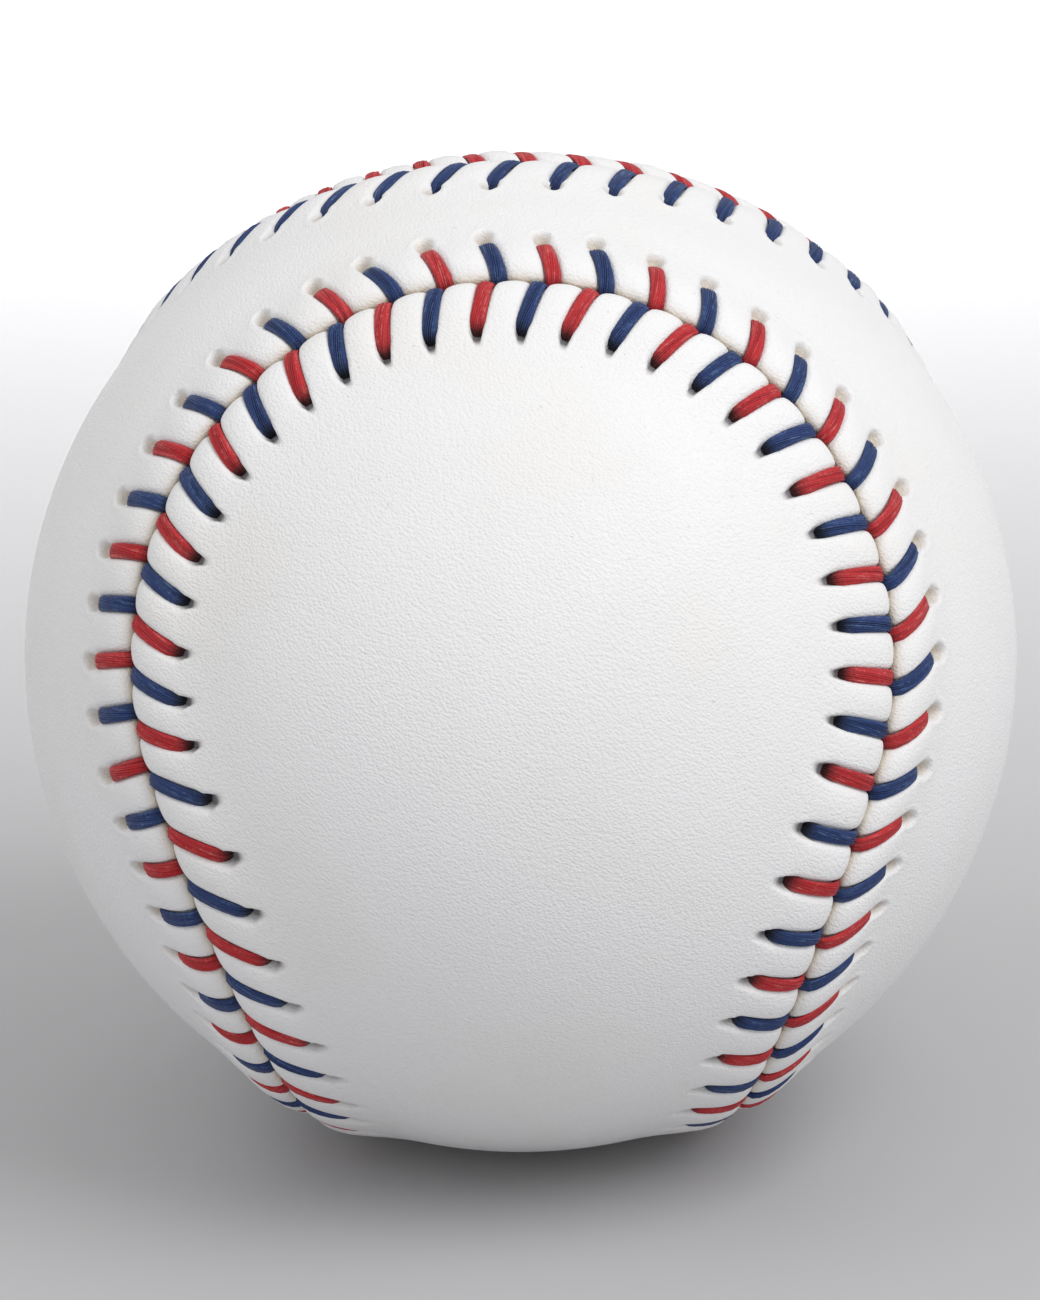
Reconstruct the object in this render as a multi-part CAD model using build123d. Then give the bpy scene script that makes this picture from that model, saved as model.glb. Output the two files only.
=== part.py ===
from build123d import *
import os
from math import acos, asin, atan2, cos, degrees, floor, pi, radians, sin, sqrt, tan

# Sewn leather ball, 108 double stitches. Millimetres, +Z up, origin at the centre of the ball.
# The seam is four circle arcs on the sphere: front, right, back and left. The back arc leans further
# to the front than the front arc leans back, so the upper panel's waist is narrow.
# The lower panel has its waist at -Z and its round ends at front and back.
# The upper panel has its waist at +Z and its round ends at right and left.

BALL_DIAMETER = 74.0
LEATHER_THICKNESS = 1.3
GLUE_LINE = 0.05

CORK_DIAMETER = 20.6
BLACK_RUBBER_THICKNESS = 3.95
RED_RUBBER_THICKNESS = 2.4
RUBBER_RING_THICKNESS = 0.8
SECOND_WINDING_THICKNESS = 1.75
THIRD_WINDING_THICKNESS = 1.75
FINISH_WINDING_THICKNESS = 0.7

SEAM_WAIST_ANGLE = 23.2
SEAM_FAR_WAIST_ANGLE = 7.0
SEAM_GAP = 0.25
SEAM_RISE = 0.8
SEAM_EDGE_RISE = 0.35
SEAM_CREST_OFFSET = 2.0
SEAM_FOOT_OFFSET = 6.2

STITCHES_PER_ARC = 27
STITCH_PHASE = -0.25
THREAD_DIAMETER = 0.72
THREAD_CLEARANCE = 0.1
THREAD_BEND = 0.5
HOLE_OFFSET = 4.9
HOLE_TRAIL = 1.4
HOLE_SWING = 0.94
FAR_HOLE_LEAD = 1.8
LEG_STAGGER = 0.45
DIVE_STAGGER = 0.66
THREAD_BED_DEPTH = 0.4
TUNNEL_EDGE_ROOF = 0.5
TUNNEL_HOLE_ROOF = 0.8

ball_radius = BALL_DIAMETER / 2
thread_radius = THREAD_DIAMETER / 2
hole_radius = thread_radius + THREAD_CLEARANCE
notch_radius = DIVE_STAGGER + thread_radius + THREAD_CLEARANCE
tunnel_offset = HOLE_OFFSET + hole_radius + THREAD_CLEARANCE
winding_radius = ball_radius - LEATHER_THICKNESS - GLUE_LINE
bed_height = -(LEATHER_THICKNESS + GLUE_LINE + THREAD_BED_DEPTH)
under_height = bed_height + thread_radius + 2 * THREAD_CLEARANCE
stitch_count = 4 * STITCHES_PER_ARC

# seam arcs: each is centred on an axis tilted from level, and meets the next on the line between their axes
arc_top = pi / 2 - radians(SEAM_WAIST_ANGLE)
arc_tilt = atan2(sqrt(0.5) - cos(arc_top), sin(arc_top))
arc_opening = arc_top - arc_tilt
arc_half_span = atan2(sqrt(0.5), -sqrt(0.5) * sin(arc_tilt))
arc_length = 2 * arc_half_span * sin(arc_opening) * ball_radius
pitch = arc_length / STITCHES_PER_ARC
far_top = pi / 2 - radians(SEAM_FAR_WAIST_ANGLE)
far_reach = arc_opening + far_top
far_tilt = atan2(-cos(far_reach), sin(far_reach) + sin(arc_tilt))
far_opening = far_top - far_tilt
far_half_span = atan2(cos(arc_tilt), -sin(arc_tilt) * cos(far_tilt))
side_span = atan2(cos(far_tilt), -sin(far_tilt) * cos(arc_tilt))

# tilt, opening, first and last turn of the front, right, back and left arc
SEAM_ARCS = (
    (arc_tilt, arc_opening, -arc_half_span, arc_half_span),
    (arc_tilt, arc_opening, -arc_half_span, side_span),
    (far_tilt, far_opening, -far_half_span, far_half_span),
    (arc_tilt, arc_opening, -side_span, arc_half_span),
)

Z_UNIT = Vector(0, 0, 1)


def arc_axes(arc):
    """Axis of a seam arc, the direction of its middle and the direction of travel there."""
    turn = arc * pi / 2
    lean = 1 if arc % 2 == 0 else -1
    tilt = SEAM_ARCS[arc][0]
    level = Vector(sin(turn), -cos(turn), 0)
    axis = level * cos(tilt) + Z_UNIT * lean * sin(tilt)
    middle = level * -sin(tilt) + Z_UNIT * lean * cos(tilt)
    travel = Vector(cos(turn), sin(turn), 0)
    return axis, middle, travel


def seam_point(along, across, height):
    """Point by its distance along the seam from the front top, across it and above the leather.
    The other arcs are a little longer than the front arc and hold as many stitches."""
    place = along / arc_length + 0.5
    arc = floor(place)
    tilt, opening, first_turn, last_turn = SEAM_ARCS[arc % 4]
    spin = first_turn + (place - arc) * (last_turn - first_turn)
    axis, middle, travel = arc_axes(arc % 4)
    side = 1 if arc % 2 == 0 else -1
    opening = opening + side * across / ball_radius
    outward = middle * cos(spin) + travel * sin(spin)
    return (axis * cos(opening) + outward * sin(opening)) * (ball_radius + height)


def section_point(opening, across, height):
    """A distance from the seam's middle and a height, in a plane that holds a seam arc's axis."""
    radius = ball_radius + height
    angle = opening + asin(across / radius)
    return radius * sin(angle), radius * cos(angle)


def outline(opening, *places):
    """Closed straight-sided section from pairs of distance across and height."""
    return Polyline(*[section_point(opening, across, height) for across, height in places], close=True)


def along_seam(section_lines):
    """Turns a closed section round the axes of the four seam arcs and joins the four to a loop."""
    faces = []
    for arc in range(4):
        tilt, opening, first_turn, last_turn = SEAM_ARCS[arc]
        axis, middle, travel = arc_axes(arc)
        start_turn = last_turn if arc % 2 == 0 else first_turn
        start = middle * cos(start_turn) + travel * sin(start_turn)
        plane = Plane(origin=(0, 0, 0), x_dir=start, z_dir=start.cross(axis))
        section = make_face(section_lines(opening))
        turned = revolve(plane * section, Axis((0, 0, 0), axis), degrees(last_turn - first_turn))
        faces.extend(face for face in turned.faces() if face.geom_type != GeomType.PLANE)
    return Solid(Shell(faces))


def ridge_section(opening):
    """Raised leather on both sides of the seam, with its lower side inside the leather."""
    slope = SEAM_RISE / (SEAM_FOOT_OFFSET - SEAM_CREST_OFFSET)
    toe_drop = 0.3 * LEATHER_THICKNESS
    toe = SEAM_FOOT_OFFSET + toe_drop / slope
    shoulder = SEAM_CREST_OFFSET / 2
    shoulder_rise = SEAM_EDGE_RISE + 0.78 * (SEAM_RISE - SEAM_EDGE_RISE)
    edge = section_point(opening, 0, SEAM_EDGE_RISE)
    lines = []
    for side in (-1, 1):
        crest = section_point(opening, side * SEAM_CREST_OFFSET, SEAM_RISE)
        lines.append(Line(section_point(opening, side * toe, -toe_drop), crest))
        lines.append(ThreePointArc(crest, section_point(opening, side * shoulder, shoulder_rise), edge))
    lines.append(Line(section_point(opening, -toe, -toe_drop), section_point(opening, toe, -toe_drop)))
    return lines


def tunnel_section(opening):
    """Room under the raised leather for the thread on its way to the next hole."""
    low = -LEATHER_THICKNESS - THREAD_BED_DEPTH
    return outline(opening, (-tunnel_offset, low), (-tunnel_offset, -TUNNEL_HOLE_ROOF),
                   (0, -TUNNEL_EDGE_ROOF), (tunnel_offset, -TUNNEL_HOLE_ROOF), (tunnel_offset, low))


def slit_section(opening):
    """Narrow gap between the two panels."""
    half = SEAM_GAP / 2
    depth = 2 * LEATHER_THICKNESS
    return outline(opening, (-half, -depth), (-half, depth), (half, depth), (half, -depth))


def bed_section(opening):
    """Groove that the threads press into the finish winding, with room for their longest straight runs."""
    floor = bed_height - THREAD_CLEARANCE
    return outline(opening, (-tunnel_offset, floor), (-tunnel_offset, 0), (tunnel_offset, 0),
                   (tunnel_offset, floor), (0, floor))


def ball(radius):
    """Solid ball with its start line inside the lower panel, clear of the seam."""
    return Rot(0, 90, 0) * Rot(-90, 0, 0) * Sphere(radius)


def hollow_ball(inner_radius, outer_radius):
    return ball(outer_radius) - ball(inner_radius)


def stitch_along(stitch):
    """Distance of a stitch along the seam; stitch 0 is the one nearest the front top."""
    return (stitch + STITCH_PHASE) * pitch


def hole_trail(stitch):
    """How far the holes of a stitch lie behind it: the far half is sewn the other way."""
    quarters = (stitch_along(stitch) / arc_length + 2) % 4
    turn_share = min(max((abs(quarters - 2) - 1) / 0.4, 0), 1)
    return HOLE_TRAIL - (HOLE_TRAIL + FAR_HOLE_LEAD) * turn_share


def hole_along(stitch, side):
    """Where the thread of a stitch comes up; side -1 is the lower panel, +1 the upper panel."""
    phase = pi * stitch_along(stitch) / arc_length
    if side > 0:
        phase = phase + pi
    swing = sin(phase) - 0.45 * sin(3 * phase)
    return stitch_along(stitch) + side * LEG_STAGGER - hole_trail(stitch) + HOLE_SWING * swing


def ridge_height(across):
    """Height of the leather on the slope of the ridge."""
    return SEAM_RISE * (SEAM_FOOT_OFFSET - across) / (SEAM_FOOT_OFFSET - SEAM_CREST_OFFSET)


def bore(along, across, radius):
    """Round cutter through the leather, square to the ball."""
    direction = seam_point(along, across, 0).normalized()
    plane = Plane(origin=direction * (ball_radius - 3 * LEATHER_THICKNESS), z_dir=direction)
    return plane * Cylinder(radius, 6 * LEATHER_THICKNESS,
                            align=(Align.CENTER, Align.CENTER, Align.MIN))


def stitch_side(stitch, colour):
    """Side on which a thread comes up. In front the threads change sides at every stitch,
    behind each keeps to its own side."""
    in_front = -2 * STITCHES_PER_ARC / 2 < stitch <= STITCHES_PER_ARC
    red_side = -1
    if in_front and stitch % 2 != 0:
        red_side = 1
    return red_side if colour == "red" else -red_side


def thread_route(colour):
    """Corner points of one thread from its tucked start to its tucked end."""
    leg_lift = thread_radius + THREAD_CLEARANCE
    hole_top = ridge_height(HOLE_OFFSET) + leg_lift
    crest_top = SEAM_RISE + leg_lift
    dive_top = SEAM_RISE + leg_lift - 0.2 * THREAD_DIAMETER
    dive_middle = (dive_top + under_height) / 2
    first = -STITCHES_PER_ARC + 1
    last = first + stitch_count - 1
    corners = []
    for stitch in range(first, last + 1):
        side = stitch_side(stitch, colour)
        next_side = stitch_side(stitch + 1, colour)
        middle = stitch_along(stitch)
        hole = hole_along(stitch, side)
        dive = middle + side * DIVE_STAGGER
        crest_share = SEAM_CREST_OFFSET / HOLE_OFFSET
        crest = dive + (hole - dive) * crest_share
        if stitch == first:
            tuck = hole - 0.35 * pitch
            corners.append(seam_point(tuck, side * 0.6 * HOLE_OFFSET, under_height))
        corners.append(seam_point(hole, side * HOLE_OFFSET, under_height))
        corners.append(seam_point(hole, side * HOLE_OFFSET, hole_top))
        corners.append(seam_point(crest, side * SEAM_CREST_OFFSET, crest_top))
        corners.append(seam_point(dive, 0, dive_top))
        own_side = 0
        if next_side == side:
            corners.append(seam_point(middle, -side * DIVE_STAGGER, dive_middle))
            dive = middle - side * DIVE_STAGGER
            own_side = side * 0.25 * DIVE_STAGGER
        corners.append(seam_point(dive, own_side, under_height))
        if stitch == last:
            tuck = dive + 0.3 * pitch
            corners.append(seam_point(tuck, next_side * 0.4 * HOLE_OFFSET, under_height))
    return corners


def rounded_route(corners):
    """Straight runs joined by tangent arcs."""
    edges = []
    place = corners[0]
    for before, corner, after in zip(corners, corners[1:], corners[2:]):
        arrive = (corner - before).normalized()
        leave = (after - corner).normalized()
        half_turn = acos(arrive.dot(leave)) / 2
        trim = THREAD_BEND * tan(half_turn)
        inset = THREAD_BEND / cos(half_turn) - THREAD_BEND
        bend_start = corner - arrive * trim
        bend_end = corner + leave * trim
        bend_middle = corner + (leave - arrive).normalized() * inset
        edges.append(Edge.make_line(place, bend_start))
        edges.append(Edge.make_three_point_arc(bend_start, bend_middle, bend_end))
        place = bend_end
    edges.append(Edge.make_line(place, corners[-1]))
    return Wire(edges)


def thread(colour):
    corners = thread_route(colour)
    start = Plane(origin=corners[0], z_dir=corners[1] - corners[0])
    return sweep(start * Circle(thread_radius), path=rounded_route(corners))


def cover_panels():
    """Lower and upper leather panel, raised along the seam, notched and punched."""
    outside = ball(ball_radius) + along_seam(ridge_section)
    inside = ball(ball_radius - LEATHER_THICKNESS) + along_seam(tunnel_section)
    leather = outside - inside - along_seam(slit_section)
    lower, upper = leather.solids().sort_by(Axis.Z)
    stitches = range(stitch_count)
    notches = [bore(stitch_along(stitch), 0, notch_radius) for stitch in stitches]
    lower_holes = [bore(hole_along(stitch, -1), -HOLE_OFFSET, hole_radius) for stitch in stitches]
    upper_holes = [bore(hole_along(stitch, 1), HOLE_OFFSET, hole_radius) for stitch in stitches]
    return lower - (notches + lower_holes), upper - (notches + upper_holes)


def half_shell(inner_radius, outer_radius):
    """Upper half of a hollow ball, cut back from the middle for the ring between the halves."""
    level = RUBBER_RING_THICKNESS / 2 + GLUE_LINE
    block = Box(3 * outer_radius, 3 * outer_radius, 2 * outer_radius,
                align=(Align.CENTER, Align.CENTER, Align.MIN))
    return (Sphere(outer_radius) - Sphere(inner_radius)) & Pos(0, 0, level) * block


def build():
    cork_radius = CORK_DIAMETER / 2
    black_inner = cork_radius + GLUE_LINE
    black_outer = black_inner + BLACK_RUBBER_THICKNESS
    red_inner = black_outer + GLUE_LINE
    red_outer = red_inner + RED_RUBBER_THICKNESS
    finish_inner = winding_radius - FINISH_WINDING_THICKNESS
    third_outer = finish_inner - GLUE_LINE
    third_inner = third_outer - THIRD_WINDING_THICKNESS
    second_outer = third_inner - GLUE_LINE
    second_inner = second_outer - SECOND_WINDING_THICKNESS
    first_outer = second_inner - GLUE_LINE
    parts = {}
    parts["cork_core"] = Sphere(cork_radius)
    parts["black_cushion_upper"] = half_shell(black_inner, black_outer)
    parts["black_cushion_lower"] = Rot(180, 0, 0) * half_shell(black_inner, black_outer)
    ring = Cylinder(black_outer, RUBBER_RING_THICKNESS) - Cylinder(black_inner, RUBBER_RING_THICKNESS)
    parts["cushion_ring"] = ring
    parts["red_cushion_layer"] = hollow_ball(red_inner, red_outer)
    parts["first_winding"] = hollow_ball(red_outer + GLUE_LINE, first_outer)
    parts["second_winding"] = hollow_ball(second_inner, second_outer)
    parts["third_winding"] = hollow_ball(third_inner, third_outer)
    parts["finish_winding"] = hollow_ball(finish_inner, winding_radius) - along_seam(bed_section)
    parts["cover_panel_lower"], parts["cover_panel_upper"] = cover_panels()
    parts["red_thread"] = thread("red")
    parts["blue_thread"] = thread("blue")
    return parts


os.makedirs("parts", exist_ok=True)
for name, solid in build().items():
    solid.label = name
    export_step(solid, "parts/" + name + ".step")
    print(name, "volume", round(solid.volume, 2), "solids", len(solid.solids()), "valid", solid.is_valid)
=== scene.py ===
"""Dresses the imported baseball: sewn leather panels, laced threads, wound yarn and the cushioned core."""

import math

import bmesh
import bpy
import numpy as np
from mathutils import Matrix, Vector
from mathutils.geometry import delaunay_2d_cdt


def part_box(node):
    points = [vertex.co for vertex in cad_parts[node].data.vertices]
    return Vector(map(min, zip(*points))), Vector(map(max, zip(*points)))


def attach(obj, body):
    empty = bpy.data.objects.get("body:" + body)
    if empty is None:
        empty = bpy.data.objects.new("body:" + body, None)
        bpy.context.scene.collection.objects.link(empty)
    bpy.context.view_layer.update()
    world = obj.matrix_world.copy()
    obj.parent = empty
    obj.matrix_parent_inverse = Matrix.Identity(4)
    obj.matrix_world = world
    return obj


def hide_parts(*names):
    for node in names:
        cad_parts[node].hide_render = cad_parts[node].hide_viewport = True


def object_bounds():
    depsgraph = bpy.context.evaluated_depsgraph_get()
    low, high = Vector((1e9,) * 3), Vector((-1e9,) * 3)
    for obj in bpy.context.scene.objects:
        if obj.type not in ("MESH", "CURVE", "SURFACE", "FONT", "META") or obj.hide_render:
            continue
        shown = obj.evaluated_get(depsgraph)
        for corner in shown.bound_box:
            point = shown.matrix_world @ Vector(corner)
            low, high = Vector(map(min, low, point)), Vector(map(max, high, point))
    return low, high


bl_info = {
    "name": "Baseball",
    "version": (1, 0, 0),
    "blender": (4, 5, 0),
    "location": "3D View > Sidebar > Baseball",
    "description": "Leather panels, laced threads, wound yarn and core of a baseball",
    "category": "Object",
}

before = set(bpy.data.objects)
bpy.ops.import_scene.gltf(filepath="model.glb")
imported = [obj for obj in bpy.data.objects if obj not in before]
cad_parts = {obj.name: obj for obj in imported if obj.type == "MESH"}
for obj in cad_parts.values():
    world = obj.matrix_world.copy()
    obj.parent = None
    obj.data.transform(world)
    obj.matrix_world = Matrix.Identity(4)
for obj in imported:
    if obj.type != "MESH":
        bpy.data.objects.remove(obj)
CAD_LOW, CAD_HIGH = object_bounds()
BALL_DIAMETER = -2 * CAD_LOW.z
MM = 0.001

# millimetres: strip beside the seam that the sewing shapes, floor of the stitch holes, spread of uneven sewing
STRIP_WIDTH = 9.0
HOLE_FLOOR = -0.74
HOLE_UNEVEN, END_UNEVEN, PILLOW_UNEVEN = 0.09, 0.07, 0.05
# directions spread over the whole sphere to fill the plain leather
FIELD_DIRECTIONS = 19000
# millimetres from the seam and above the leather, of a stitch's leg from its hole to the seam
LEG_COURSE = ((4.58, -1.15), (4.56, -0.7), (4.5, -0.3), (4.34, 0.03), (4.08, 0.23), (3.65, 0.38), (3.1, 0.52),
              (2.4, 0.63), (1.6, 0.66), (0.98, 0.56), (0.55, 0.38), (0.26, -0.02), (0.1, -0.55), (0.04, -1.15))
LEG_HOLE_POINTS = 8
UNDER_HEIGHT = -1.15
# the image frame: its height, the ball's radius and the shift of the ball's middle, in pixels
FRAME_HEIGHT = 1300
BALL_PIXELS = 496.0
FRAME_SHIFT = (-0.6, 6.0)
# metres: half the floor's side, a lamp's side
FLOOR_REACH = 3.0
LAMP_WIDTH = 0.4


def number_prop(name, description, default, **kind):
    """A number for the sidebar, whole where its default is."""
    make = bpy.props.IntProperty if isinstance(default, int) else bpy.props.FloatProperty
    return make(name=name, description=description, default=default, **kind)


def length_prop(name, description, default):
    """A length in metres for the sidebar."""
    return number_prop(name, description, default, unit="LENGTH")


def angle_prop(name, description, degrees):
    """An angle for the sidebar."""
    return number_prop(name, description, math.radians(degrees), subtype="ANGLE")


def colour_prop(name, description, default):
    """A colour for the sidebar."""
    return bpy.props.FloatVectorProperty(
        name=name, description=description, default=default, subtype="COLOR", size=3)


class BallSettings(bpy.types.PropertyGroup):
    """Sizes that the leather and the threads share"""
    diameter: length_prop("Diameter", "Across the plain leather", BALL_DIAMETER)
    waist_angle: angle_prop("Waist angle", "From the pole to the seam at a panel's waist", 23.2)
    far_waist_angle: angle_prop(
        "Far waist angle", "From the pole to the seam on the far side of the upper waist", 7.0)
    stitches_per_arc: number_prop("Stitches per arc", "Double stitches on each of the four seam arcs", 27)
    stitch_phase: number_prop("Stitch phase", "First stitch from the front top, in pitches", -0.25)
    hole_offset: length_prop("Hole offset", "From the seam to the row of holes", 4.9 * MM)
    hole_trail: length_prop("Hole trail", "How far the holes lie behind their stitch", 1.4 * MM)
    hole_swing: length_prop("Hole swing", "Change of the trail round the seam", 0.94 * MM)
    far_hole_lead: length_prop(
        "Far hole lead", "How far the far half's holes lie ahead of their stitch", 1.8 * MM)
    leg_stagger: length_prop("Leg stagger", "Shift between the two legs of a stitch", 0.45 * MM)
    seed: number_prop("Seed", "For hand-sewn unevenness", 11)


class LeatherSettings(bpy.types.PropertyGroup):
    """Form and finish of the two cover panels"""
    thickness: length_prop("Thickness", "Of the leather", 1.3 * MM)
    pillow_rise: length_prop("Pillow rise", "Height of the leather between stitches", 0.92 * MM)
    crest_offset: length_prop("Crest offset", "From the seam to the highest leather", 1.9 * MM)
    foot_offset: length_prop("Foot offset", "From the seam to where the ridge has all but sunk", 7.6 * MM)
    groove_depth: length_prop("Groove depth", "How far a stitch sinks in", 0.46 * MM)
    pit_depth: length_prop("Pit depth", "Of a stitch hole", 1.05 * MM)
    colour: colour_prop("Colour", "Of the white leather", (0.87, 0.868, 0.878))
    # raw leather colour that also serves as painted shade in the creases and holes
    raw_leather_and_painted_shade_colour: colour_prop("Crease colour", "Raw leather and painted shade in holes and creases", (0.7, 0.6, 0.47))
    # painted shade: a dark colour painted into the stitch holes of the lower panel
    painted_hole_shade_colour: colour_prop(
        "Painted hole shade colour", "Painted shade in the holes of the lower panel", (0.1, 0.095, 0.115))


class ThreadSettings(bpy.types.PropertyGroup):
    """Form and finish of the two threads"""
    strands: number_prop("Strands", "Plies of a thread", 18)
    strand_radius: length_prop("Strand radius", "Of one ply", 0.12 * MM)
    half_width: length_prop("Half width", "Of the flattened lay, to the ply's middle", 0.47 * MM)
    half_height: length_prop("Half height", "Of the flattened lay, to the ply's middle", 0.14 * MM)
    lay_length: length_prop("Lay length", "For one turn of the plies", 26.0 * MM)
    red: colour_prop("Red", "Red thread", (0.58, 0.016, 0.025))
    blue: colour_prop("Blue", "Blue thread", (0.012, 0.043, 0.18))


class WindingSettings(bpy.types.PropertyGroup):
    """Yarn of the four windings under the leather"""
    first_yarn: length_prop("First yarn", "Diameter of the thick grey yarn", 1.6 * MM)
    middle_yarn: length_prop("Middle yarn", "Diameter of the second and third yarn", 1.2 * MM)
    finish_yarn: length_prop("Finish yarn", "Diameter of the fine outer yarn", 0.5 * MM)
    grey: colour_prop("Grey", "Grey wool", (0.2, 0.195, 0.19))
    white: colour_prop("White", "White wool", (0.72, 0.69, 0.62))
    finish: colour_prop("Finish", "Fine outer yarn", (0.8, 0.79, 0.76))
    seed: number_prop("Seed", "For the way each turn lies", 5)


class CoreSettings(bpy.types.PropertyGroup):
    """Finish of the cushioned cork core"""
    cork: colour_prop("Cork", "Cork granules", (0.42, 0.25, 0.12))
    black: colour_prop("Black rubber", "The two half shells", (0.018, 0.018, 0.02))
    red: colour_prop("Red rubber", "The ring and the outer layer", (0.34, 0.04, 0.025))


class StageSettings(bpy.types.PropertyGroup):
    """Floor, light and camera"""
    floor_colour: colour_prop("Floor colour", "Of the plain floor", (0.5, 0.5, 0.51))
    key_power: number_prop("Key power", "Soft light from the upper right", 1.95, unit="POWER")
    background_power: number_prop("Background power", "Light on the floor behind the ball", 1.3, unit="POWER")
    fill: number_prop("Fill", "Even light from all round", 0.66)
    side_power: number_prop("Side power", "Soft light from the upper left", 0.5, unit="POWER")
    camera_distance: length_prop("Camera distance", "From the ball's middle", 0.814)
    camera_yaw: angle_prop("Camera yaw", "Turn to the right of the front", 1.5)
    camera_rise: angle_prop("Camera rise", "Look down from level", 19.8)
    camera_roll: angle_prop("Camera roll", "Turn about the line of sight", -1.0)


def new_object(name, data):
    """An object in the scene."""
    made = bpy.data.objects.new(name, data)
    bpy.context.scene.collection.objects.link(made)
    return made


def wave(x):
    """Soft step from 0 to 1."""
    x = np.clip(x, 0.0, 1.0)
    return x * x * (3.0 - 2.0 * x)


class Seam:
    """The closed seam of four circle arcs, in millimetres, with the places of its stitches."""

    def __init__(self, settings):
        self.radius = settings.diameter / 2 / MM
        top = math.pi / 2 - settings.waist_angle
        tilt = math.atan2(math.sqrt(0.5) - math.cos(top), math.sin(top))
        opening = top - tilt
        span = math.atan2(math.sqrt(0.5), -math.sqrt(0.5) * math.sin(tilt))
        far_top = math.pi / 2 - settings.far_waist_angle
        reach = opening + far_top
        far_tilt = math.atan2(-math.cos(reach), math.sin(reach) + math.sin(tilt))
        far_span = math.atan2(math.cos(tilt), -math.sin(tilt) * math.cos(far_tilt))
        side_span = math.atan2(math.cos(far_tilt), -math.sin(far_tilt) * math.cos(tilt))
        self.tilt = np.array([tilt, tilt, far_tilt, tilt])
        self.opening = np.array([opening, opening, far_top - far_tilt, opening])
        self.first_turn = np.array([-span, -span, -far_span, -side_span])
        self.last_turn = np.array([span, side_span, far_span, span])
        self.arc_length = 2 * span * math.sin(opening) * self.radius
        self.per_arc = settings.stitches_per_arc
        self.count = 4 * self.per_arc
        self.pitch = self.arc_length / self.per_arc
        self.phase = settings.stitch_phase
        self.hole_offset = settings.hole_offset / MM
        self.trail = settings.hole_trail / MM
        self.swing = settings.hole_swing / MM
        self.lead = settings.far_hole_lead / MM
        self.stagger = settings.leg_stagger / MM
        rng = np.random.default_rng(settings.seed)
        self.hole_shift = rng.normal(0.0, HOLE_UNEVEN, (2, self.count))
        self.hole_drift = rng.normal(0.0, HOLE_UNEVEN, (2, self.count))
        self.end_drift = rng.normal(0.0, END_UNEVEN, (2, self.count))
        self.pillow_gain = 1.0 + rng.normal(0.0, PILLOW_UNEVEN, (2, self.count))

    def axes(self, arc):
        """Axis, middle direction and travel direction of each arc number in an array."""
        turn = (arc % 4) * math.pi / 2
        tilt = self.tilt[arc % 4][..., None]
        lean = np.where(arc % 2 == 0, 1.0, -1.0)
        zero = np.zeros_like(turn)
        level = np.stack([np.sin(turn), -np.cos(turn), zero], -1)
        up = np.stack([zero, zero, lean], -1)
        axis = level * np.cos(tilt) + up * np.sin(tilt)
        middle = -level * np.sin(tilt) + up * np.cos(tilt)
        travel = np.stack([np.cos(turn), np.sin(turn), zero], -1)
        return axis, middle, travel, lean

    def points(self, along, across, height):
        """Places by distance along the seam, across it (upper panel positive) and above the leather."""
        along, across, height = np.broadcast_arrays(along, across, height)
        place = along / self.arc_length + 0.5
        arc = np.floor(place).astype(int)
        first, last = self.first_turn[arc % 4], self.last_turn[arc % 4]
        spin = first + (place - arc) * (last - first)
        axis, middle, travel, lean = self.axes(arc)
        opening = (self.opening[arc % 4] + lean * across / self.radius)[..., None]
        outward = middle * np.cos(spin)[..., None] + travel * np.sin(spin)[..., None]
        return (axis * np.cos(opening) + outward * np.sin(opening)) * (self.radius + height)[..., None]

    def across(self, directions):
        """Signed distance of directions from the seam, upper panel positive."""
        best = np.full(len(directions), 1e9)
        for margin in (0.0, 0.2):
            unset = best > 1e8
            for arc in range(4):
                axis, middle, travel, lean = (np.asarray(x) for x in self.axes(np.array(arc)))
                polar = np.arccos(np.clip(directions @ axis, -1, 1))
                spin = np.arctan2(directions @ travel, directions @ middle)
                value = float(lean) * (polar - self.opening[arc]) * self.radius
                within = (spin >= self.first_turn[arc] - margin) & (spin <= self.last_turn[arc] + margin)
                near = unset & within & (np.abs(value) < np.abs(best))
                best = np.where(near, value, best)
        return best

    def stitch_along(self, stitch):
        """Along-seam place of a stitch number."""
        return (stitch + self.phase) * self.pitch

    def between(self, table, side, stitch):
        """Value of a per-stitch table at a stitch number that may lie between two stitches."""
        low = np.floor(stitch).astype(int)
        share = wave(stitch - low)
        row = table[(side + 1) // 2]
        return row[low % self.count] * (1 - share) + row[(low + 1) % self.count] * share

    def hole_along(self, stitch, side):
        """Along-seam place of a stitch's hole: behind its stitch in front, ahead of it on the far half."""
        turn = math.pi * self.stitch_along(stitch) / self.arc_length + (math.pi if side > 0 else 0.0)
        swing = np.sin(turn) - 0.45 * np.sin(3 * turn)
        drift = self.between(self.hole_drift, side, stitch)
        quarters = (self.stitch_along(stitch) / self.arc_length + 2) % 4
        trail = self.trail - (self.trail + self.lead) * np.clip((np.abs(quarters - 2) - 1) / 0.4, 0.0, 1.0)
        return self.stitch_along(stitch) + side * self.stagger - trail + self.swing * swing + drift

    def leg_along(self, stitch, side, offset):
        """Along-seam place of a stitch's leg at a distance from the seam, also between stitches."""
        end = self.stitch_along(stitch) + side * self.stagger + self.between(self.end_drift, side, stitch)
        share = np.minimum(offset / self.hole_offset, 1.0)
        return end + (self.hole_along(stitch, side) - end) * share


def seam_of(context):
    """The seam by the sizes in the sidebar."""
    return Seam(context.scene.ball_settings)


def ridge_profile(offset, edge, leather):
    """Height of the leather between stitches at a distance from the seam."""
    rise, crest, foot = (x / MM for x in (leather.pillow_rise, leather.crest_offset, leather.foot_offset))
    slope = rise * np.exp(-(1.7 * (offset - crest) / (foot - crest)) ** 2) * wave((STRIP_WIDTH - offset) / 2.6)
    inward = np.clip((crest - offset) / np.maximum(crest - edge, 0.1), 0.0, 1.0)
    return np.where(offset < crest, rise * np.sqrt(1.0 - inward * inward), slope)


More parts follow.
